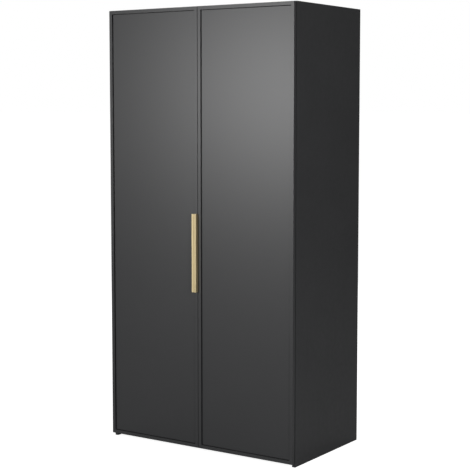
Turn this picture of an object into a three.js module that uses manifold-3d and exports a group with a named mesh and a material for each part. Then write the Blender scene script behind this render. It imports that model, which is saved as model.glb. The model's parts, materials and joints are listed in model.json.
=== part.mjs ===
// A free-standing wardrobe with two hinged doors, in millimetres.
// +Z is up, the doors face -Y, and the origin is on the floor under the middle of the bounding box.
// The two halves mirror each other. A place across the width is given as an inset from the outer face
// of that half's side panel, and a place along the depth as y from the carcass's front edges.
import * as THREE from 'three';
import { mergeVertices } from 'three/addons/utils/BufferGeometryUtils.js';
import Module from 'manifold-3d';

const wasm = await Module();
wasm.setup();

// Overall size
const WIDTH = 1000;
const HEIGHT = 2000;
const CARCASS_DEPTH = 559;
const MIDDLE = WIDTH / 2;
const SIDES = { left: -1, right: 1 };

// Fits
const GAP = 0.3; // between neighbouring pieces that would touch
const BOARD = 16; // thickness of every carcass board

// Carcass
const PLINTH_HEIGHT = 50;
const PLINTH_SETBACK = 27;
const PLINTH_REAR = 536;
const RABBET_WIDTH = 8; // taken out of the boards that frame the back
const RABBET_DEPTH = 4.8;
const BACK_FRONT = CARCASS_DEPTH - RABBET_DEPTH;
const BACK_THICKNESS = 3;
const STRIP_HALF_WIDTH = 9;
const STRIP_WEB_HALF = 0.7;

// Fittings inside
const SHELF_UNDERSIDE = 1684;
const SHELF_FRONT = 20;
const SHELF_REAR = 545;
const PIN_RADIUS = 2.5;
const PIN_DEPTHS = [60, 480];
const PIN_REACH = { inBoard: 9.5, outOfBoard: 8 };
const RAIL = { width: 15, height: 30, wall: 1.3, y: 277, z: 1625 };
const WALL_BRACKET = { fromMiddle: 300, halfWidth: 15, leg: 32, drop: 34, sheet: 2 };

// Doors
const LEAF_STANDOFF = 2; // between the carcass front and the leaf's back
const LEAF_THICKNESS = 19;
const LEAF_SIDE_GAP = 1; // at the outer edge, and on each side of the meeting gap
const LEAF_BOTTOM = 16;
const LEAF_TOP = HEIGHT - 2;
const LEAF_BACK = -LEAF_STANDOFF;
const LEAF_FRONT = LEAF_BACK - LEAF_THICKNESS;
const FRAME_STRIP = 16; // raised round the recessed panel
const RECESS_DEPTH = 6;
const BACK_CHAMFER = 2.5; // lets the outer edge turn past the side panel
const BUMPER = { radius: 4, thickness: 1.4, fromMeetingEdge: 11 };

// Handle: a channel on the left leaf's meeting strip, open towards the left for the fingers
const HANDLE = { bottom: 729, top: 1081, reach: 15, lip: 23, flange: 15.5, wall: 2.5, foot: 3 };
const HANDLE_FRONT = LEAF_FRONT - HANDLE.reach;
const HANDLE_SCREW = { fromMiddle: 9, fromEnd: 40, radius: 2, head: 4, headHeight: 2.3, bite: 2.8 };

// Hinges: a cup let into the leaf, and a goose-neck arm that turns in it on one pin
const HINGE_FROM_END = 100;
const HINGES_PER_DOOR = 4;
const PIVOT = { inset: 8.8, y: -9.7 };
const CUP = { inset: 21.5, hole: 17.5, outer: 17.2, inner: 16.4, holeFloor: -13.5, floor: 0.6 };
const CUP_FLANGE = { from: 26, to: 39, halfHeight: 28, thickness: 1.2 };
const HINGE_PIN = { radius: 1.2, bore: 1.5, barrel: 2.6, halfLength: 10.2 };
const ARM = { halfHeight: 5, leg: [-12.2, -9.4], neck: [18.2, 20.7], tail: [18.2, 24], reach: 60 };
const PLATE = { inset: [16.3, 17.9], y: [28, 60], wingY: [35, 49], halfHeight: 9, wing: 27 };

const FRONT_Y = -(CARCASS_DEPTH + HANDLE_FRONT) / 2; // the carcass front, in the part's frame

const MATERIALS = {
  board: new THREE.MeshStandardMaterial({ color: 0x2b2c2e, roughness: 0.5 }),
  door: new THREE.MeshStandardMaterial({ color: 0x303133, roughness: 0.4 }),
  back: new THREE.MeshStandardMaterial({ color: 0x242527, roughness: 0.75 }),
  gold: new THREE.MeshStandardMaterial({ color: 0xc8ab6a, roughness: 0.32, metalness: 1 }),
  steel: new THREE.MeshStandardMaterial({ color: 0xb4b7ba, roughness: 0.3, metalness: 1 }),
  rail: new THREE.MeshStandardMaterial({ color: 0x1d1e20, roughness: 0.35, metalness: 0.6 }),
  plastic: new THREE.MeshStandardMaterial({ color: 0x1a1b1c, roughness: 0.6 }),
  bumper: new THREE.MeshStandardMaterial({ color: 0xd9dadb, roughness: 0.5 }),
};

// --- Solids -------------------------------------------------------------------------------------

function solidOf(geometry) {
  const bare = geometry.clone();
  bare.deleteAttribute('normal');
  bare.deleteAttribute('uv');
  const merged = mergeVertices(bare);
  const mesh = new wasm.Mesh({
    numProp: 3,
    vertProperties: merged.attributes.position.array,
    triVerts: new Uint32Array(merged.index.array),
  });
  return new wasm.Manifold(mesh);
}

function geometryOf(solid) {
  const mesh = solid.getMesh();
  const geometry = new THREE.BufferGeometry();
  geometry.setAttribute('position', new THREE.BufferAttribute(mesh.vertProperties, 3));
  geometry.setIndex(new THREE.BufferAttribute(mesh.triVerts, 1));
  geometry.computeVertexNormals();
  return geometry;
}

function joined(first, ...others) {
  return geometryOf(others.reduce((sum, other) => sum.add(solidOf(other)), solidOf(first)));
}

function cut(first, ...tools) {
  return geometryOf(tools.reduce((rest, tool) => rest.subtract(solidOf(tool)), solidOf(first)));
}

function common(first, second) {
  return geometryOf(solidOf(first).intersect(solidOf(second)));
}

// --- Shapes -------------------------------------------------------------------------------------

// A box between two limits along each axis, given in either order.
function block(x, y, z) {
  const size = [x, y, z].map(([a, b]) => Math.abs(b - a));
  const centre = [x, y, z].map(([a, b]) => (a + b) / 2);
  return new THREE.BoxGeometry(...size).translate(...centre);
}

function prism(shape, [low, high], curveSegments = 8) {
  const options = { depth: high - low, bevelEnabled: false, curveSegments };
  return new THREE.ExtrudeGeometry(shape, options).translate(0, 0, low);
}

// Turns a prism drawn in (y, z) so that it runs along X.
function alongX(geometry) {
  const turn = new THREE.Matrix4().makeBasis(
    new THREE.Vector3(0, 1, 0),
    new THREE.Vector3(0, 0, 1),
    new THREE.Vector3(1, 0, 0),
  );
  return geometry.applyMatrix4(turn);
}

function rodAlongY(radius, [low, high], x, z, segments = 32) {
  return new THREE.CylinderGeometry(radius, radius, high - low, segments)
    .translate(x, (low + high) / 2, z);
}

function rodAlongZ(radius, [low, high], x, y, segments = 16) {
  return new THREE.CylinderGeometry(radius, radius, high - low, segments)
    .rotateX(Math.PI / 2)
    .translate(x, y, (low + high) / 2);
}

function rodAlongX(radius, [a, b], y, z, segments = 16) {
  return new THREE.CylinderGeometry(radius, radius, Math.abs(b - a), segments)
    .rotateZ(Math.PI / 2)
    .translate((a + b) / 2, y, z);
}

function outline(points) {
  return new THREE.Shape(points.map(([x, y]) => new THREE.Vector2(x, y)));
}

// An upright oval with straight sides, about the middle of the rail.
function oval(width, height) {
  const radius = width / 2;
  const straight = height / 2 - radius;
  const shape = new THREE.Shape();
  shape.absarc(RAIL.y, RAIL.z + straight, radius, 0, Math.PI);
  shape.absarc(RAIL.y, RAIL.z - straight, radius, Math.PI, 2 * Math.PI);
  return shape;
}

function piece(group, name, geometry, material) {
  const mesh = new THREE.Mesh(geometry, material);
  mesh.name = name;
  group.add(mesh);
  return mesh;
}

// --- Places -------------------------------------------------------------------------------------

const wardrobe = new THREE.Group();
wardrobe.position.y = FRONT_Y;

// One group for each half: its own x is 0 at the side panel's outer face.
const halves = {};
for (const [name, side] of Object.entries(SIDES)) {
  halves[name] = new THREE.Group();
  halves[name].position.x = side * MIDDLE;
  wardrobe.add(halves[name]);
}

// Insets in a half, as x in that half's group.
const inward = (side, ...insets) => insets.map((inset) => -side * inset);

const hingeHeights = Array.from({ length: HINGES_PER_DOOR }, (_, i) => {
  const low = LEAF_BOTTOM + HINGE_FROM_END;
  const high = LEAF_TOP - HINGE_FROM_END;
  return low + (i * (high - low)) / (HINGES_PER_DOOR - 1);
});

const screwHeights = {
  lower: HANDLE.bottom + HANDLE_SCREW.fromEnd,
  upper: HANDLE.top - HANDLE_SCREW.fromEnd,
};

// --- Carcass ------------------------------------------------------------------------------------

function sidePanel(side) {
  const panel = block(inward(side, 0, BOARD), [0, CARCASS_DEPTH], [0, HEIGHT]);
  const rabbet = block(
    inward(side, BOARD - RABBET_WIDTH, BOARD + 1),
    [BACK_FRONT, CARCASS_DEPTH + 1],
    [-1, HEIGHT + 1],
  );
  const pinHoles = PIN_DEPTHS.map((y) => rodAlongX(
    PIN_RADIUS + GAP,
    inward(side, BOARD - PIN_REACH.inBoard - GAP, BOARD + 1),
    y,
    SHELF_UNDERSIDE - PIN_RADIUS - GAP,
  ));
  return cut(panel, rabbet, ...pinHoles);
}

function addCarcassBoards() {
  const inside = MIDDLE - BOARD - GAP;
  const across = [-inside, inside];
  const topRabbet = block(
    [-MIDDLE, MIDDLE],
    [BACK_FRONT, CARCASS_DEPTH + 1],
    [HEIGHT - BOARD - 1, HEIGHT - RABBET_WIDTH],
  );
  const top = cut(block(across, [0, CARCASS_DEPTH], [HEIGHT - BOARD, HEIGHT]), topRabbet);
  const plinth = [0, PLINTH_HEIGHT - GAP];
  piece(wardrobe, 'top_panel', top, MATERIALS.board);
  piece(wardrobe, 'bottom_panel', block(
    across,
    [0, BACK_FRONT],
    [PLINTH_HEIGHT, PLINTH_HEIGHT + BOARD],
  ), MATERIALS.board);
  piece(wardrobe, 'plinth_front', block(
    across,
    [PLINTH_SETBACK, PLINTH_SETBACK + BOARD],
    plinth,
  ), MATERIALS.board);
  piece(wardrobe, 'plinth_rear', block(across, [PLINTH_REAR - BOARD, PLINTH_REAR], plinth), MATERIALS.board);
  piece(wardrobe, 'hat_shelf', block(
    across,
    [SHELF_FRONT, SHELF_REAR],
    [SHELF_UNDERSIDE, SHELF_UNDERSIDE + BOARD],
  ), MATERIALS.board);
}

function backPanel(side) {
  const front = BACK_FRONT + GAP;
  return block(
    inward(side, BOARD - RABBET_WIDTH + GAP, MIDDLE - STRIP_WEB_HALF - GAP),
    [front, front + BACK_THICKNESS],
    [PLINTH_HEIGHT + GAP, HEIGHT - RABBET_WIDTH - GAP],
  );
}

// An H-section strip that holds the two halves of the back together, between the top and the bottom.
function jointStrip() {
  const inner = BACK_FRONT;
  const outer = BACK_FRONT + BACK_THICKNESS + 2 * GAP;
  const sheet = CARCASS_DEPTH - outer;
  const z = [PLINTH_HEIGHT + BOARD + GAP, HEIGHT - BOARD - GAP];
  const flange = [-STRIP_HALF_WIDTH, STRIP_HALF_WIDTH];
  return joined(
    block(flange, [inner - sheet, inner], z),
    block([-STRIP_WEB_HALF, STRIP_WEB_HALF], [inner - sheet, CARCASS_DEPTH], z),
    block(flange, [outer, CARCASS_DEPTH], z),
  );
}

// --- Fittings -----------------------------------------------------------------------------------

function addRail() {
  const shape = oval(RAIL.width, RAIL.height);
  shape.holes.push(oval(RAIL.width - 2 * RAIL.wall, RAIL.height - 2 * RAIL.wall));
  const end = MIDDLE - BOARD - 2.6;
  piece(wardrobe, 'hanging_rail', alongX(prism(shape, [-end, end])), MATERIALS.rail);
}

// A flange on the side panel with a socket for the rail's end.
function railBracket(side) {
  const [plate, root, mouth] = inward(side, BOARD + GAP, BOARD + GAP + 2, BOARD + 12);
  const range = (a, b) => [Math.min(a, b), Math.max(a, b)];
  const flange = alongX(prism(oval(RAIL.width + 14, RAIL.height + 14), range(plate, root)));
  const ring = alongX(prism(oval(RAIL.width + 5, RAIL.height + 5), range(plate, mouth)));
  const bore = alongX(prism(oval(RAIL.width + 0.8, RAIL.height + 0.8), range(root, mouth - side)));
  return cut(joined(flange, ring), bore);
}

function wallBracket() {
  const { halfWidth, leg, drop, sheet } = WALL_BRACKET;
  const rear = BACK_FRONT;
  const top = HEIGHT - BOARD - GAP;
  const screwHole = rodAlongY(3, [rear - 2 * sheet, rear + 1], 0, top - 0.6 * drop, 16);
  const angle = joined(
    block([-halfWidth, halfWidth], [rear - leg, rear], [top - sheet, top]),
    block([-halfWidth, halfWidth], [rear - sheet, rear], [top - drop, top]),
  );
  return cut(angle, screwHole);
}

function shelfPin(side, y) {
  const reach = inward(side, BOARD - PIN_REACH.inBoard, BOARD + PIN_REACH.outOfBoard);
  return rodAlongX(PIN_RADIUS, reach, y, SHELF_UNDERSIDE - PIN_RADIUS - GAP, 12);
}

// --- Doors --------------------------------------------------------------------------------------

function doorLeaf(side, screwHoles) {
  const edge = LEAF_SIDE_GAP;
  const meeting = MIDDLE - LEAF_SIDE_GAP;
  const section = [
    [edge, LEAF_FRONT],
    [meeting, LEAF_FRONT],
    [meeting, LEAF_BACK],
    [edge + BACK_CHAMFER, LEAF_BACK],
    [edge, LEAF_BACK - BACK_CHAMFER],
  ];
  const slab = prism(
    outline(section.map(([inset, y]) => [-side * inset, y])),
    [LEAF_BOTTOM, LEAF_TOP],
  );
  const recess = block(
    inward(side, edge + FRAME_STRIP, meeting - FRAME_STRIP),
    [LEAF_FRONT - 1, LEAF_FRONT + RECESS_DEPTH],
    [LEAF_BOTTOM + FRAME_STRIP, LEAF_TOP - FRAME_STRIP],
  );
  const [cupX] = inward(side, CUP.inset);
  const cupHoles = hingeHeights.map((z) => rodAlongY(CUP.hole, [CUP.holeFloor, 0], cupX, z));
  return cut(slab, recess, ...cupHoles, ...screwHoles);
}

function handleScrewHole(z) {
  const [x] = inward(SIDES.left, MIDDLE - HANDLE_SCREW.fromMiddle);
  return rodAlongY(HANDLE_SCREW.radius + GAP, [HANDLE_FRONT + 5, 0], x, z, 16);
}

function handleProfile() {
  const { lip, flange, wall, foot, bottom, top } = HANDLE;
  const back = LEAF_FRONT - GAP;
  const section = outline([
    [MIDDLE, back],
    [MIDDLE, HANDLE_FRONT],
    [MIDDLE - lip, HANDLE_FRONT],
    [MIDDLE - lip, HANDLE_FRONT + wall],
    [MIDDLE - wall, HANDLE_FRONT + wall],
    [MIDDLE - wall, back - foot],
    [MIDDLE - flange, back - foot],
    [MIDDLE - flange, back],
  ]);
  return cut(prism(section, [bottom, top]), ...Object.values(screwHeights).map(handleScrewHole));
}

// A cap screw turned about Y, with its head on the leaf's back and a blind socket in the head.
function handleScrew() {
  const { radius, head, headHeight, bite } = HANDLE_SCREW;
  const seat = LEAF_BACK + GAP;
  const tip = LEAF_FRONT - bite;
  const crown = seat + headHeight;
  const profile = [
    [0, tip],
    [radius, tip],
    [radius, seat],
    [head, seat],
    [head, crown - 0.5],
    [head - 0.5, crown],
    [1.3, crown],
    [1.3, crown - 1.4],
    [0, crown - 1.4],
  ];
  return new THREE.LatheGeometry(profile.map(([x, y]) => new THREE.Vector2(x, y)), 16);
}

function bumper() {
  const face = LEAF_BACK + GAP;
  return rodAlongY(BUMPER.radius, [face, face + BUMPER.thickness], 0, 0, 16);
}

// --- Hinges, drawn about the height of their own middle ------------------------------------------

function hingeCup(side) {
  const [cupX, pivotX] = inward(side, CUP.inset, PIVOT.inset);
  const floor = CUP.holeFloor + GAP;
  const flangeBack = LEAF_BACK + GAP;
  const rim = flangeBack + CUP_FLANGE.thickness;
  const wings = [-CUP_FLANGE.halfHeight, CUP_FLANGE.halfHeight];
  const blank = joined(
    rodAlongY(CUP.outer, [floor, rim], cupX, 0),
    block(inward(side, CUP_FLANGE.from, CUP_FLANGE.to), [flangeBack, rim], wings),
  );
  const hollow = rodAlongY(CUP.inner, [floor + CUP.floor, rim + 1], cupX, 0);
  // Beside the pivot the rim stays under the leaf's back, so that it can turn past the side panel.
  const relief = block(inward(side, 0, CUP_FLANGE.from), [LEAF_BACK - GAP, rim + 1], wings);
  const ears = [-1, 1].map((end) => common(
    block(
      inward(side, PIVOT.inset - 2.4, PIVOT.inset + 2.6),
      [floor, PIVOT.y + 2.8],
      [end * (ARM.halfHeight + 0.4), end * (ARM.halfHeight + 7)],
    ),
    rodAlongY(CUP.outer - 0.2, [floor, rim], cupX, 0),
  ));
  const bore = rodAlongZ(HINGE_PIN.bore, wings, pivotX, PIVOT.y);
  return cut(joined(cut(blank, hollow, relief), ...ears), bore);
}

function hingePin(side) {
  const [x] = inward(side, PIVOT.inset);
  const reach = [-HINGE_PIN.halfLength, HINGE_PIN.halfLength];
  return rodAlongZ(HINGE_PIN.radius, reach, x, PIVOT.y, 12);
}

function hingeArm(side) {
  const [x] = inward(side, PIVOT.inset);
  const height = [-ARM.halfHeight, ARM.halfHeight];
  const shoulder = 3; // y where the neck widens into the tail
  const arm = joined(
    rodAlongZ(HINGE_PIN.barrel, height, x, PIVOT.y, 20),
    block(inward(side, PIVOT.inset, ARM.neck[1]), ARM.leg, height),
    block(inward(side, ...ARM.neck), [ARM.leg[0], shoulder + 1], height),
    block(inward(side, ...ARM.tail), [shoulder, ARM.reach], height.map((z) => z * 1.2)),
  );
  return cut(arm, rodAlongZ(HINGE_PIN.bore, height.map((z) => z * 2), x, PIVOT.y));
}

function hingePlate(side) {
  const across = inward(side, ...PLATE.inset);
  const wings = [-PLATE.wing, PLATE.wing];
  return joined(
    block(across, PLATE.y, [-PLATE.halfHeight, PLATE.halfHeight]),
    block(across, PLATE.wingY, wings),
  );
}

function addHinges(name, side) {
  const shapes = {
    cup: hingeCup(side),
    pin: hingePin(side),
    arm: hingeArm(side),
    plate: hingePlate(side),
  };
  hingeHeights.forEach((height, i) => {
    const hinge = new THREE.Group();
    hinge.position.z = height;
    halves[name].add(hinge);
    for (const [part, geometry] of Object.entries(shapes)) {
      piece(hinge, `${name}_hinge_${i + 1}_${part}`, geometry, MATERIALS.steel);
    }
  });
}

// --- Assembly -----------------------------------------------------------------------------------

addCarcassBoards();
addRail();
piece(wardrobe, 'back_joint_strip', jointStrip(), MATERIALS.plastic);

let pinNumber = 0;
let bumperNumber = 0;
for (const [name, side] of Object.entries(SIDES)) {
  const half = halves[name];
  piece(half, `${name}_side_panel`, sidePanel(side), MATERIALS.board);
  piece(half, `back_panel_${name}`, backPanel(side), MATERIALS.back);
  piece(half, `rail_bracket_${name}`, railBracket(side), MATERIALS.plastic);

  const bracket = piece(wardrobe, `wall_bracket_${name}`, wallBracket(), MATERIALS.steel);
  bracket.position.x = side * WALL_BRACKET.fromMiddle;

  for (const y of PIN_DEPTHS) {
    pinNumber += 1;
    piece(half, `shelf_pin_${pinNumber}`, shelfPin(side, y), MATERIALS.steel);
  }

  const screwHoles = name === 'left' ? Object.values(screwHeights).map(handleScrewHole) : [];
  piece(half, `${name}_door_leaf`, doorLeaf(side, screwHoles), MATERIALS.door);
  const bumperHeights = [PLINTH_HEIGHT + BOARD / 2, HEIGHT - BOARD / 2];
  for (const z of bumperHeights) {
    bumperNumber += 1;
    const stop = piece(half, `door_bumper_${bumperNumber}`, bumper(), MATERIALS.bumper);
    stop.position.set(...inward(side, MIDDLE - BUMPER.fromMeetingEdge), 0, z);
  }
  addHinges(name, side);
}

piece(halves.left, 'handle_profile', handleProfile(), MATERIALS.gold);
for (const [end, z] of Object.entries(screwHeights)) {
  const screw = piece(halves.left, `handle_screw_${end}`, handleScrew(), MATERIALS.steel);
  screw.position.set(MIDDLE - HANDLE_SCREW.fromMiddle, 0, z);
}

export default wardrobe;
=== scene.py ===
"""The looks of a two-door wardrobe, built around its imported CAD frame. Lengths are in metres."""
import json
import math

import bmesh
import bpy
from mathutils import Matrix, Vector


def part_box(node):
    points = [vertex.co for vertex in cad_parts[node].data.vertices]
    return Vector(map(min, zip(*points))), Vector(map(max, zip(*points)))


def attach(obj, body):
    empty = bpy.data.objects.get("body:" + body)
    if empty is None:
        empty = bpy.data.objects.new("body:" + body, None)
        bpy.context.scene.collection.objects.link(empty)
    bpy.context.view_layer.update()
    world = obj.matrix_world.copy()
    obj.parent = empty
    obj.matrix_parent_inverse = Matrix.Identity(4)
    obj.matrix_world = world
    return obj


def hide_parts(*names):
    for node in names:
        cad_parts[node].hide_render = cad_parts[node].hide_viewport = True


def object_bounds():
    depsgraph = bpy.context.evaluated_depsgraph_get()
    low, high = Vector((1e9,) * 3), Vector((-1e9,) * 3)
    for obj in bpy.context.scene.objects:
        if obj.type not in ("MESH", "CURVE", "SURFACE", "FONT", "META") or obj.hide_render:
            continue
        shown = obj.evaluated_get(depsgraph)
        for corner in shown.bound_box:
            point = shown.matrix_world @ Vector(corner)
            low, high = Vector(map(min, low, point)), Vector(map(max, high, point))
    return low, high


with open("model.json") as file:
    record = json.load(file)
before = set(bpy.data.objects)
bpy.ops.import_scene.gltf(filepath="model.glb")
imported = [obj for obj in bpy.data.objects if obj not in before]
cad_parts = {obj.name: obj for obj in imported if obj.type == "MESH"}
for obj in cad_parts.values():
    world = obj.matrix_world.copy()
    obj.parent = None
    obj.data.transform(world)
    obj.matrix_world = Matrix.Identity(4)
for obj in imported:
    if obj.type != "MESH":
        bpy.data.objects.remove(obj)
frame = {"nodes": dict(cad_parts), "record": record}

cad_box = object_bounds()

SIDES = {"left": -1, "right": 1}  # the sign of x on each side
HINGES = range(1, 5)  # their numbers on each door

# Door leaf, as in the CAD model
FRAME_STRIP = 0.016
RECESS = 0.006
BACK_CHAMFER = 0.0025
CUP_HOLE_RADIUS = 0.0175
CUP_INSET = 0.0215  # from the side panel's outer face to the cup's middle
CUP_GAP = 0.0003  # between the cup and the bottom of its hole
SCREW_HOLE_RADIUS = 0.0023
HOLE_SEGMENTS = 48

# Groove down the handle's front face, measured from its meeting edge: a step, then a slope out
GROOVE_STEP = 0.0145
GROOVE_END = 0.006
GROOVE_DEPTH = 0.0017

# Black band in the corner between the leaf's frame strip and its panel: painted shade, a dark piece put
# where the recess's corner is only shaded
SHADE_BAND_WIDTH = 0.0026
SHADE_BAND_HEIGHT = 0.0042
SHADE_BAND_THICKNESS = 0.0006
SHADE_BAND_BITE = 0.0002

# Screws, as (head radius, head height)
CUP_SCREW = (0.0036, 0.0011)
PLATE_SCREW = (0.0033, 0.0011)
ARM_SCREW = (0.0024, 0.0008)
BRACKET_SCREW = (0.0032, 0.001)

# Places of the screws
CUP_SCREW_INSET = 0.0065  # from the cup's inner edge
CUP_SCREW_RISE = 0.0225  # above and below the hinge's middle
PLATE_SCREW_RISE = 0.0205
PLATE_SCREW_FORWARD = 0.002  # of the plate's middle
ARM_SCREW_SETBACKS = (0.009, 0.031)  # from the arm's rear end
RAIL_SCREW_RISE = 0.0195  # above and below the rail's middle
WALL_SCREW_SPREAD = 0.008  # to either side of the wall bracket's middle
WALL_SCREW_SETBACK = 0.012  # from the wall bracket's front edge
BRACKET_SHEET = 0.002

# Caps over the joint fittings
CAP_RADIUS = 0.009
CAP_HEIGHT = 0.0012
CAP_INSET = 0.034  # from the panel's ends
CAP_SETBACKS = (0.075, 0.48)  # from the panel's front edge

# Nails through the back
NAIL_RADIUS = 0.0028
NAIL_HEIGHT = 0.0007
NAIL_INSET = 0.0045  # from the back's edges, and twice that at the bottom and in the side rows' ends
NAILS_PER_SIDE = 13
NAIL_GAPS_PER_ROW = 6

# Rounding of edges
LEAF_ROUND = 0.0009
STRIP_ROUND = 0.0004
PANEL_FILLET = 0.0003
BOARD_ROUND = 0.0006
METAL_ROUND = 0.0004
FITTING_ROUND = 0.0002

# Mesh work
WELD_DISTANCE = 0.00001
CUTTER_REACH = 0.001  # of a cutter past what it cuts

# Stage
FLOOR_HALF_SIZE = 400.0
FLOOR_GLOW = 0.9  # to the camera only
WORLD_STRENGTH = 0.19
KEY_AIM_HEIGHT = 0.82  # as a share of the wardrobe's height


# --- Materials ---


class Surface:
    """A node material with short calls for what its pattern is made of.

    The plain colour and roughness are near the middle of the patterns that take their place.
    """

    NOISE_RANGE = (0.3, 0.7)  # the part of a noise that the patterns spread out

    def __init__(self, name, colour, roughness, metallic=0.0, specular=0.5):
        self.material = bpy.data.materials.new(name)
        self.material.use_nodes = True
        self.tree = self.material.node_tree
        self.shader = self.tree.nodes["Principled BSDF"]
        self.shader.inputs["Base Color"].default_value = (*colour, 1)
        self.shader.inputs["Roughness"].default_value = roughness
        self.shader.inputs["Metallic"].default_value = metallic
        self.shader.inputs["Specular IOR Level"].default_value = specular
        self.place = self.add("ShaderNodeTexCoord").outputs["Object"]

    def add(self, kind, **settings):
        node = self.tree.nodes.new(kind)
        for key, value in settings.items():
            setattr(node, key, value)
        return node

    def link(self, output, node, socket):
        self.tree.links.new(output, node.inputs[socket])

    def noise(self, scale, stretch=(1, 1, 1), detail=4.0, rough=0.55):
        """Noise with this many cells to the metre, stretched along an axis where its factor is small."""
        mapping = self.add("ShaderNodeMapping")
        mapping.inputs["Scale"].default_value = stretch
        self.link(self.place, mapping, "Vector")
        texture = self.add("ShaderNodeTexNoise")
        texture.inputs["Scale"].default_value = scale
        texture.inputs["Detail"].default_value = detail
        texture.inputs["Roughness"].default_value = rough
        self.link(mapping.outputs["Vector"], texture, "Vector")
        return texture.outputs["Fac"]

    def spread(self, value, low, high):
        """The middle of a noise's range, spread from low to high."""
        node = self.add("ShaderNodeMapRange")
        node.inputs["From Min"].default_value = self.NOISE_RANGE[0]
        node.inputs["From Max"].default_value = self.NOISE_RANGE[1]
        node.inputs["To Min"].default_value = low
        node.inputs["To Max"].default_value = high
        self.link(value, node, "Value")
        return node.outputs["Result"]

    def colours(self, value, dark, light):
        ramp = self.add("ShaderNodeValToRGB")
        for stop, position, colour in zip(ramp.color_ramp.elements, self.NOISE_RANGE, (dark, light)):
            stop.position = position
            stop.color = (*colour, 1)
        self.link(value, ramp, "Fac")
        self.link(ramp.outputs["Color"], self.shader, "Base Color")

    def roughness(self, value, low, high):
        self.link(self.spread(value, low, high), self.shader, "Roughness")

    def bump(self, value, strength, distance):
        node = self.add("ShaderNodeBump")
        node.inputs["Strength"].default_value = strength
        node.inputs["Distance"].default_value = distance
        self.link(value, node, "Height")
        previous = self.shader.inputs["Normal"].links
        if previous:
            self.link(previous[0].from_socket, node, "Normal")
        self.link(node.outputs["Normal"], self.shader, "Normal")


def melamine():
    """Anthracite melamine on the carcass boards: fine pearl grain and a slight cloudiness."""
    surface = Surface("anthracite_melamine", (0.024, 0.0245, 0.026), 0.46)
    surface.colours(surface.noise(5, detail=6), (0.0225, 0.023, 0.0245), (0.0265, 0.027, 0.0285))
    surface.roughness(surface.noise(40), 0.43, 0.5)
    surface.bump(surface.noise(1400, detail=2), 0.12, 0.00008)
    return surface.material


def satin_lacquer():
    """The doors' satin finish: smoother than the carcass, with a very fine tooth."""
    surface = Surface("satin_anthracite_lacquer", (0.027, 0.0275, 0.029), 0.385)
    surface.colours(surface.noise(3, detail=5), (0.0265, 0.027, 0.0285), (0.028, 0.0285, 0.03))
    surface.roughness(surface.noise(700, detail=3), 0.38, 0.39)
    surface.bump(surface.noise(2200, detail=2), 0.03, 0.00003)
    return surface.material


def hardboard():
    """The back's thin board: dark printed face over short pressed fibres."""
    surface = Surface("dark_hardboard", (0.02, 0.0205, 0.0215), 0.72, specular=0.35)
    fibres = surface.noise(420, stretch=(1, 1, 0.35), detail=6, rough=0.7)
    surface.colours(fibres, (0.017, 0.0175, 0.0185), (0.026, 0.0265, 0.0275))
    surface.roughness(surface.noise(60), 0.66, 0.8)
    surface.bump(fibres, 0.25, 0.00015)
    return surface.material


def brushed_gold():
    """Gold anodised aluminium with a broad satin shine, brushed along its length."""
    surface = Surface("brushed_gold", (0.68, 0.57, 0.35), 0.6, metallic=1.0)
    brushing = surface.noise(2600, stretch=(1, 1, 0.006), detail=5, rough=0.65)
    surface.colours(brushing, (0.62, 0.515, 0.3), (0.73, 0.62, 0.39))
    surface.roughness(surface.noise(900, stretch=(1, 1, 0.01)), 0.57, 0.62)
    surface.bump(brushing, 0.1, 0.00003)
    return surface.material


def nickel():
    """Nickel-plated pressed steel: faint rolling lines under a soft haze."""
    surface = Surface("nickel_plated_steel", (0.74, 0.73, 0.7), 0.42, metallic=0.92)
    surface.colours(surface.noise(70, detail=5), (0.69, 0.68, 0.655), (0.79, 0.78, 0.75))
    surface.roughness(surface.noise(300, stretch=(1, 0.1, 1)), 0.37, 0.48)
    surface.bump(surface.noise(1200, stretch=(1, 0.08, 1), detail=2), 0.05, 0.00004)
    return surface.material


def rail_paint():
    """Dark satin powder paint on the oval rail, lightly rubbed along its length."""
    surface = Surface("dark_satin_paint", (0.02, 0.0205, 0.0215), 0.42)
    rubbing = surface.noise(220, stretch=(0.1, 1, 1), detail=5)
    surface.colours(rubbing, (0.017, 0.0175, 0.0185), (0.024, 0.0245, 0.0255))
    surface.roughness(rubbing, 0.34, 0.48)
    surface.bump(surface.noise(900, detail=3), 0.08, 0.00005)
    return surface.material


def moulded_plastic():
    """Black injection-moulded plastic with a spark-eroded grain."""
    surface = Surface("black_moulded_plastic", (0.008, 0.0082, 0.0086), 0.7, specular=0.25)
    surface.colours(surface.noise(30), (0.007, 0.0072, 0.0075), (0.0095, 0.0098, 0.0102))
    surface.roughness(surface.noise(120), 0.64, 0.76)
    surface.bump(surface.noise(2200, detail=2), 0.2, 0.00006)
    return surface.material


def clear_bumper():
    """Milky soft polyurethane."""
    surface = Surface("clear_soft_bumper", (0.72, 0.73, 0.74), 0.3)
    surface.shader.inputs["Subsurface Weight"].default_value = 0.3
    surface.shader.inputs["Subsurface Radius"].default_value = (0.001, 0.001, 0.001)
    surface.colours(surface.noise(400), (0.66, 0.67, 0.68), (0.78, 0.79, 0.8))
    surface.bump(surface.noise(1500), 0.08, 0.00005)
    return surface.material


MATERIALS = {
    "carcass_board": melamine(),
    "door_board": satin_lacquer(),
    "back_board": hardboard(),
    "handle_gold": brushed_gold(),
    "fitting_steel": nickel(),
    "rail_metal": rail_paint(),
    "dark_plastic": moulded_plastic(),
    "bumper": clear_bumper(),
}


# --- Meshes ---


def set_material(obj, slot):
    obj.data.materials.clear()
    obj.data.materials.append(MATERIALS[slot])


def finish_piece(obj, slot, body):
    """Gives a new piece the material of its slot, and the body that it rides."""
    set_material(obj, slot)
    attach(obj, body)


def new_object(name, bm):
    """An object made of the bmesh, which is used up."""
    mesh = bpy.data.meshes.new(name)
    bmesh.ops.recalc_face_normals(bm, faces=bm.faces)
    bm.to_mesh(mesh)
    bm.free()
    obj = bpy.data.objects.new(name, mesh)
    bpy.context.scene.collection.objects.link(obj)
    return obj


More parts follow.
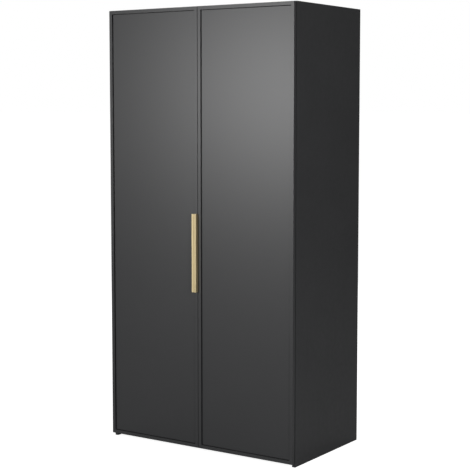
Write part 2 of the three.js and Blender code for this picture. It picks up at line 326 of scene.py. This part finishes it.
def weld(bm):
    bmesh.ops.remove_doubles(bm, verts=bm.verts, dist=WELD_DISTANCE)


def round_edges(obj, width):
    """Rounds the edges that turn by more than 40 degrees."""
    bevel = obj.modifiers.new("bevel", "BEVEL")
    bevel.width = width
    bevel.segments = 2
    bevel.limit_method = "ANGLE"
    bevel.angle_limit = math.radians(40)


def smooth(obj):
    """Smooth faces, with normals that follow the large flat ones."""
    obj.data.polygons.foreach_set("use_smooth", [True] * len(obj.data.polygons))
    normals = obj.modifiers.new("normals", "WEIGHTED_NORMAL")
    normals.weight = 80
    normals.keep_sharp = True


def cut(obj, cutter):
    """The object with the cutter's shape taken out. The cutter is used up."""
    modifier = obj.modifiers.new("cut", "BOOLEAN")
    modifier.operation = "DIFFERENCE"
    modifier.solver = "EXACT"
    modifier.object = cutter
    graph = bpy.context.evaluated_depsgraph_get()
    mesh = bpy.data.meshes.new_from_object(obj.evaluated_get(graph))
    obj.modifiers.clear()
    obj.data = mesh
    if not mesh.polygons:
        raise RuntimeError(f"{obj.name}: the cut left nothing")
    bpy.data.objects.remove(cutter)
    return obj


def loft(bm, loops, closed=False):
    """Joins rings of the same number of points with faces: the last to the first, or with flat ends."""
    rings = [[bm.verts.new(point) for point in loop] for loop in loops]
    following = rings[1:] + rings[:1] if closed else rings[1:]
    for near, far in zip(rings, following):
        for i in range(len(near)):
            j = (i + 1) % len(near)
            bm.faces.new((near[i], near[j], far[j], far[i]))
    if not closed:
        bm.faces.new(rings[0])
        bm.faces.new(list(reversed(rings[-1])))


def circle(radius, segments):
    """Points round a circle about the origin, as (across, along)."""
    for i in range(segments):
        angle = 2 * math.pi * i / segments
        yield radius * math.cos(angle), radius * math.sin(angle)


def lathe(profile, segments):
    """A turned body about Z, from (radius, height) points, closed by a flat disc at each end."""
    bm = bmesh.new()
    loft(bm, [[(x, y, height) for x, y in circle(radius, segments)] for radius, height in profile])
    return bm


def arc(centre, radius, start, end, steps=4):
    """Points on an arc, as (across, along), from one angle to another in degrees."""
    for i in range(steps + 1):
        angle = math.radians(start + (end - start) * i / steps)
        yield centre[0] + radius * math.cos(angle), centre[1] + radius * math.sin(angle)


def facing(direction, point):
    """A place at the point, with the template's +Z turned to the direction."""
    turn = Vector(direction).to_track_quat("Z", "Y").to_matrix().to_4x4()
    return Matrix.Translation(point) @ turn


def face_x(box, side):
    """The x of a box's left face where the side is negative, or else of its right face."""
    low, high = box
    return low.x if side < 0 else high.x


# --- CAD nodes ---


def soften(obj, width):
    """Welds the CAD mesh in a modifier and rounds its sharp edges."""
    if "custom_normal" in obj.data.attributes:
        obj.data.attributes.remove(obj.data.attributes["custom_normal"])
    joined = obj.modifiers.new("weld", "WELD")
    joined.merge_threshold = WELD_DISTANCE
    round_edges(obj, width)
    smooth(obj)


def dress_nodes():
    """Materials and rounded edges for all CAD nodes. The leaves and the handle are replaced later."""
    widths = {
        "carcass_board": BOARD_ROUND,
        "door_board": BOARD_ROUND,
        "back_board": FITTING_ROUND,
        "handle_gold": METAL_ROUND,
        "rail_metal": METAL_ROUND,
        "dark_plastic": METAL_ROUND,
        "fitting_steel": FITTING_ROUND,
        "bumper": METAL_ROUND,
    }
    for part in frame["record"]["subparts"]:
        obj = frame["nodes"][part["node"]]
        slot = part["material_slot"]
        set_material(obj, slot)
        soften(obj, widths[slot])


# --- Handle ---


def add_grooved_handle():
    """The handle's CAD profile with a long groove that steps in and slopes out."""
    node = frame["nodes"]["handle_profile"]
    low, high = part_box("handle_profile")
    bm = bmesh.new()
    bm.from_mesh(node.data)
    bm.transform(node.matrix_world)
    weld(bm)
    handle = new_object("grooved_handle", bm)

    step = high.x - GROOVE_STEP
    end = high.x - GROOVE_END
    front = low.y - CUTTER_REACH
    slope_end = end + (end - step) / GROOVE_DEPTH * CUTTER_REACH
    section = [(step, front), (slope_end, front), (step, low.y + GROOVE_DEPTH)]
    ends = (low.z - CUTTER_REACH, high.z + CUTTER_REACH)
    bm = bmesh.new()
    loft(bm, [[(x, y, z) for x, y in section] for z in ends])
    cut(handle, new_object("groove_cutter", bm))

    round_edges(handle, METAL_ROUND)
    smooth(handle)
    finish_piece(handle, "handle_gold", "left_door")
    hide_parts("handle_profile")


# --- Door leaves ---


def leaf_loop(side, low, high, inset, y, hinge_inset=0.0):
    """A ring round the leaf, inset from its outline, and further in on the hinge edge."""
    left = low.x + inset + (hinge_inset if side < 0 else 0)
    right = high.x - inset - (hinge_inset if side > 0 else 0)
    bottom = low.z + inset
    top = high.z - inset
    return [(left, y, bottom), (right, y, bottom), (right, y, top), (left, y, top)]


def leaf_loops(side, low, high):
    """Back face, hinge-side chamfer, rounded front edge, strip, recess wall and panel."""
    back = high.y
    front = low.y
    turn = LEAF_ROUND / 2
    yield leaf_loop(side, low, high, turn, back, BACK_CHAMFER - turn)
    yield leaf_loop(side, low, high, 0, back - turn, BACK_CHAMFER - turn)
    yield leaf_loop(side, low, high, 0, back - BACK_CHAMFER)
    for inset, y in arc((LEAF_ROUND, front + LEAF_ROUND), LEAF_ROUND, 180, 270):
        yield leaf_loop(side, low, high, inset, y)
    lip = FRAME_STRIP - STRIP_ROUND
    for inset, y in arc((lip, front + STRIP_ROUND), STRIP_ROUND, 270, 360):
        yield leaf_loop(side, low, high, inset, y)
    panel = front + RECESS
    foot = (FRAME_STRIP + PANEL_FILLET, panel - PANEL_FILLET)
    for inset, y in arc(foot, PANEL_FILLET, 180, 90):
        yield leaf_loop(side, low, high, inset, y)


def leaf_cutter(name, side):
    """Cup holes, and the handle's screw holes on the left."""
    low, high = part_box(f"{name}_door_leaf")
    cup_x = face_x(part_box(f"{name}_side_panel"), side) - side * CUP_INSET
    holes = []
    for n in HINGES:
        cup_low, cup_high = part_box(f"{name}_hinge_{n}_cup")
        cup_z = (cup_low.z + cup_high.z) / 2
        holes.append((cup_x, cup_z, CUP_HOLE_RADIUS, cup_low.y - CUP_GAP))
    if name == "left":
        for end in ("upper", "lower"):
            screw_low, screw_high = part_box(f"handle_screw_{end}")
            middle = (screw_low + screw_high) / 2
            holes.append((middle.x, middle.z, SCREW_HOLE_RADIUS, low.y - CUTTER_REACH))
    bm = bmesh.new()
    for x, z, radius, bottom in holes:
        ring = [(x + across, z + along) for across, along in circle(radius, HOLE_SEGMENTS)]
        loft(bm, [[(px, y, pz) for px, pz in ring] for y in (high.y + CUTTER_REACH, bottom)])
    return new_object(f"{name}_leaf_cutter", bm)


def add_leaf(name, side):
    """The leaf in one body, with its strip, recess, cup holes and screw holes."""
    low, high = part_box(f"{name}_door_leaf")
    bm = bmesh.new()
    loft(bm, list(leaf_loops(side, low, high)))
    leaf = cut(new_object(f"{name}_leaf", bm), leaf_cutter(name, side))
    smooth(leaf)
    leaf.data.set_sharp_from_angle(angle=math.radians(50))
    finish_piece(leaf, "door_board", f"{name}_door")
    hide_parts(f"{name}_door_leaf")


def add_painted_shade_band(name, side):
    """An L-shaped black band in the corner of the recess, all round the panel: painted shade for the
    recess's shaded corner.
    """
    low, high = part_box(f"{name}_door_leaf")
    panel = low.y + RECESS
    wall = FRAME_STRIP - SHADE_BAND_BITE
    buried = panel + SHADE_BAND_BITE
    top = panel - SHADE_BAND_HEIGHT
    upright = FRAME_STRIP + SHADE_BAND_THICKNESS
    foot = panel - SHADE_BAND_THICKNESS
    edge = FRAME_STRIP + SHADE_BAND_WIDTH
    section = [(wall, buried), (wall, top), (upright, top), (upright, foot), (edge, foot), (edge, buried)]
    bm = bmesh.new()
    loft(bm, [leaf_loop(side, low, high, inset, y) for inset, y in section], closed=True)
    # Dark plastic in the recess's corner stands in for the shade there: painted shade.
    finish_piece(new_object(f"{name}_panel_painted_shade_band", bm), "dark_plastic", f"{name}_door")


# --- Screws, caps and nails ---


def button(name, radius, height, top, steps, segments):
    """A low disc on z = 0 with a rounded rim and a flat top, whose middle is a share of the radius."""
    rim = arc((radius - height, 0), height, 0, 90, steps)
    profile = [(radius * 0.5, 0), *rim, (radius * top, height)]
    return new_object(name, lathe(profile, segments))


def cross_outline(reach, half_width):
    """The twelve corners of a cross with arms of this reach and half width."""
    for turn in range(4):
        cosine = round(math.cos(turn * math.pi / 2))
        sine = round(math.sin(turn * math.pi / 2))
        for x, y in ((reach, half_width), (half_width, half_width), (half_width, reach)):
            yield x * cosine - y * sine, x * sine + y * cosine


def cross_screw(size):
    """A slightly domed head with a tapering cross recess. It is sunk a little below its own z = 0."""
    radius, height = size
    sunk = -0.0001
    rim = arc((radius - height, 0), height, 0, 90, 5)
    crown = (radius * 0.2, height * 1.06)
    head = new_object("screw_template", lathe([(radius * 0.6, sunk), (radius, sunk), *rim, crown], 24))
    outline = list(cross_outline(reach=radius * 0.62, half_width=radius * 0.13))
    levels = ((1, height * 2), (0.7, height * 0.25))  # the cross's scale at its height above z = 0
    bm = bmesh.new()
    loft(bm, [[(x * scale, y * scale, z) for x, y in outline] for scale, z in levels])
    return cut(head, new_object("cross_template", bm))


def add_group(name, template, places, slot, body):
    """One piece made of a template's copies at several places. The template is used up."""
    bm = bmesh.new()
    for place in places:
        copy = template.data.copy()
        copy.transform(place)
        bm.from_mesh(copy)
        bpy.data.meshes.remove(copy)
    bpy.data.objects.remove(template)
    group = new_object(name, bm)
    smooth(group)
    group.data.set_sharp_from_angle(angle=math.radians(35))
    finish_piece(group, slot, body)


def add_hinge_screws(name, side):
    """Two screws in the wings of each cup, two in each plate and two in each arm."""
    inward = (-side, 0, 0)
    cups = []
    plates = []
    arms = []
    for n in HINGES:
        low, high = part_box(f"{name}_hinge_{n}_cup")
        middle = (low.z + high.z) / 2
        x = face_x((low, high), -side) + side * CUP_SCREW_INSET
        for end in (-1, 1):
            cups.append(facing((0, 1, 0), (x, high.y, middle + end * CUP_SCREW_RISE)))
        low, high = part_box(f"{name}_hinge_{n}_plate")
        x = face_x((low, high), -side)
        y = (low.y + high.y) / 2 - PLATE_SCREW_FORWARD
        for end in (-1, 1):
            plates.append(facing(inward, (x, y, middle + end * PLATE_SCREW_RISE)))
        low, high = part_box(f"{name}_hinge_{n}_arm")
        x = face_x((low, high), -side)
        for setback in ARM_SCREW_SETBACKS:
            arms.append(facing(inward, (x, high.y - setback, middle)))
    add_group(f"{name}_cup_screws", cross_screw(CUP_SCREW), cups, "fitting_steel", f"{name}_door")
    add_group(f"{name}_plate_screws", cross_screw(PLATE_SCREW), plates, "fitting_steel", "carcass")
    add_group(f"{name}_arm_screws", cross_screw(ARM_SCREW), arms, "fitting_steel", "carcass")


def add_cam_caps():
    """Round plastic caps over the joint fittings, on the bottom and under the top."""
    cap = button("cap_template", CAP_RADIUS, CAP_HEIGHT, top=0.4, steps=4, segments=32)
    places = []
    for node, up in (("bottom_panel", 1), ("top_panel", -1)):
        low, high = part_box(node)
        z = high.z if up > 0 else low.z
        for x in (low.x + CAP_INSET, high.x - CAP_INSET):
            for setback in CAP_SETBACKS:
                places.append(facing((0, 0, up), (x, low.y + setback, z)))
    add_group("cam_cover_caps", cap, places, "dark_plastic", "carcass")


def add_back_nails():
    """Small domed nails that hold the back to the side panels, the top and the bottom."""
    nail = button("nail_template", NAIL_RADIUS, NAIL_HEIGHT, top=0.3, steps=3, segments=16)
    low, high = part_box("back_panel_left")
    half_width = -low.x
    lowest = low.z + NAIL_INSET * 2
    rise = high.z - low.z - NAIL_INSET * 4
    places = []
    for side in SIDES.values():
        for i in range(NAILS_PER_SIDE):
            z = lowest + rise * i / (NAILS_PER_SIDE - 1)
            places.append(facing((0, 1, 0), (side * (half_width - NAIL_INSET), high.y, z)))
        for z in (lowest, high.z - NAIL_INSET):
            for i in range(1, NAIL_GAPS_PER_ROW):
                x = side * half_width * i / NAIL_GAPS_PER_ROW
                places.append(facing((0, 1, 0), (x, high.y, z)))
    add_group("back_nails", nail, places, "fitting_steel", "carcass")


def add_bracket_screws():
    """Two screws in each of the rail's brackets, and two under each wall bracket's upper leg."""
    places = []
    for name, side in SIDES.items():
        low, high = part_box(f"rail_bracket_{name}")
        x = face_x((low, high), side) - side * BRACKET_SHEET
        middle = (low + high) / 2
        for end in (-1, 1):
            places.append(facing((-side, 0, 0), (x, middle.y, middle.z + end * RAIL_SCREW_RISE)))
        low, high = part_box(f"wall_bracket_{name}")
        middle = (low + high) / 2
        for across in (-WALL_SCREW_SPREAD, WALL_SCREW_SPREAD):
            at = (middle.x + across, low.y + WALL_SCREW_SETBACK, high.z - BRACKET_SHEET)
            places.append(facing((0, 0, -1), at))
    add_group("bracket_screws", cross_screw(BRACKET_SCREW), places, "fitting_steel", "carcass")


# --- Stage ---


def add_floor():
    """A wide pale floor that glows for the camera only, so that the ground looks white."""
    bm = bmesh.new()
    half = FLOOR_HALF_SIZE
    corners = [(-half, -half, 0), (half, -half, 0), (half, half, 0), (-half, half, 0)]
    bm.faces.new([bm.verts.new(c) for c in corners])
    floor = new_object("studio_floor", bm)
    surface = Surface("pale_floor", (0.6, 0.6, 0.6), 0.8, specular=0.1)
    rays = surface.add("ShaderNodeLightPath")
    surface.shader.inputs["Emission Color"].default_value = (1, 1, 1, 1)
    glow = surface.add("ShaderNodeMath", operation="MULTIPLY")
    glow.inputs[1].default_value = FLOOR_GLOW
    surface.link(rays.outputs["Is Camera Ray"], glow, 0)
    surface.link(glow.outputs["Value"], surface.shader, "Emission Strength")
    floor.data.materials.append(surface.material)


def set_world():
    """Plain white behind the object, and a dimmer even light from all round on it."""
    world = bpy.data.worlds.new("studio")
    world.use_nodes = True
    bpy.context.scene.world = world
    nodes = world.node_tree.nodes
    links = world.node_tree.links
    background = nodes["Background"]
    background.inputs["Color"].default_value = (1, 1, 1, 1)
    rays = nodes.new("ShaderNodeLightPath")
    level = nodes.new("ShaderNodeMapRange")
    level.inputs["To Min"].default_value = WORLD_STRENGTH
    level.inputs["To Max"].default_value = 1.0
    links.new(rays.outputs["Is Camera Ray"], level.inputs["Value"])
    links.new(level.outputs["Result"], background.inputs["Strength"])


def area_light(name, place, target, size, power):
    """A rectangular light in watts, turned to its target and hidden from the camera."""
    data = bpy.data.lights.new(name, "AREA")
    data.shape = "RECTANGLE"
    data.size, data.size_y = size
    data.energy = power
    light = bpy.data.objects.new(name, data)
    light.visible_camera = False
    light.location = place
    light.rotation_euler = (Vector(target) - Vector(place)).to_track_quat("-Z", "Y").to_euler()
    bpy.context.scene.collection.objects.link(light)


def add_lights():
    """One soft key that the doors mirror towards their upper right, and fills behind and on the right."""
    low, high = cad_box
    corner = (high.x, low.y, KEY_AIM_HEIGHT * high.z)
    area_light("key", place=(-2.15, -4.83, 1.75), target=corner, size=(0.85, 0.85), power=102)
    area_light("back_fill", place=(-1.6, 4.4, 2.6), target=(0, 0.3, 1), size=(2.4, 2.4), power=80)
    area_light("right_fill", place=(2.4, -1.8, 1.6), target=(0.5, -0.2, 1.1), size=(0.8, 2.2), power=44)


def add_camera():
    """At eye height in front and to the right, looking slightly down."""
    data = bpy.data.cameras.new("camera")
    data.lens = 96.3
    data.sensor_width = 36.0
    data.shift_y = -0.03
    camera = bpy.data.objects.new("camera", data)
    yaw = math.radians(-33.85)
    pitch = math.radians(-5.07)
    camera.location = (3.252, -4.832, 1.546)
    level = math.cos(pitch)
    view = Vector((math.sin(yaw) * level, math.cos(yaw) * level, math.sin(pitch)))
    camera.rotation_euler = view.to_track_quat("-Z", "Y").to_euler()
    bpy.context.scene.collection.objects.link(camera)
    bpy.context.scene.camera = camera


# --- Build ---

add_camera()
dress_nodes()
for side_name, side_sign in SIDES.items():
    add_leaf(side_name, side_sign)
    # Each leaf gets a black band in its recess's corner as painted shade.
    add_painted_shade_band(side_name, side_sign)
    add_hinge_screws(side_name, side_sign)
add_grooved_handle()
add_cam_caps()
add_back_nails()
add_bracket_screws()
add_floor()
set_world()
add_lights()
bpy.context.scene.view_settings.view_transform = "Standard"
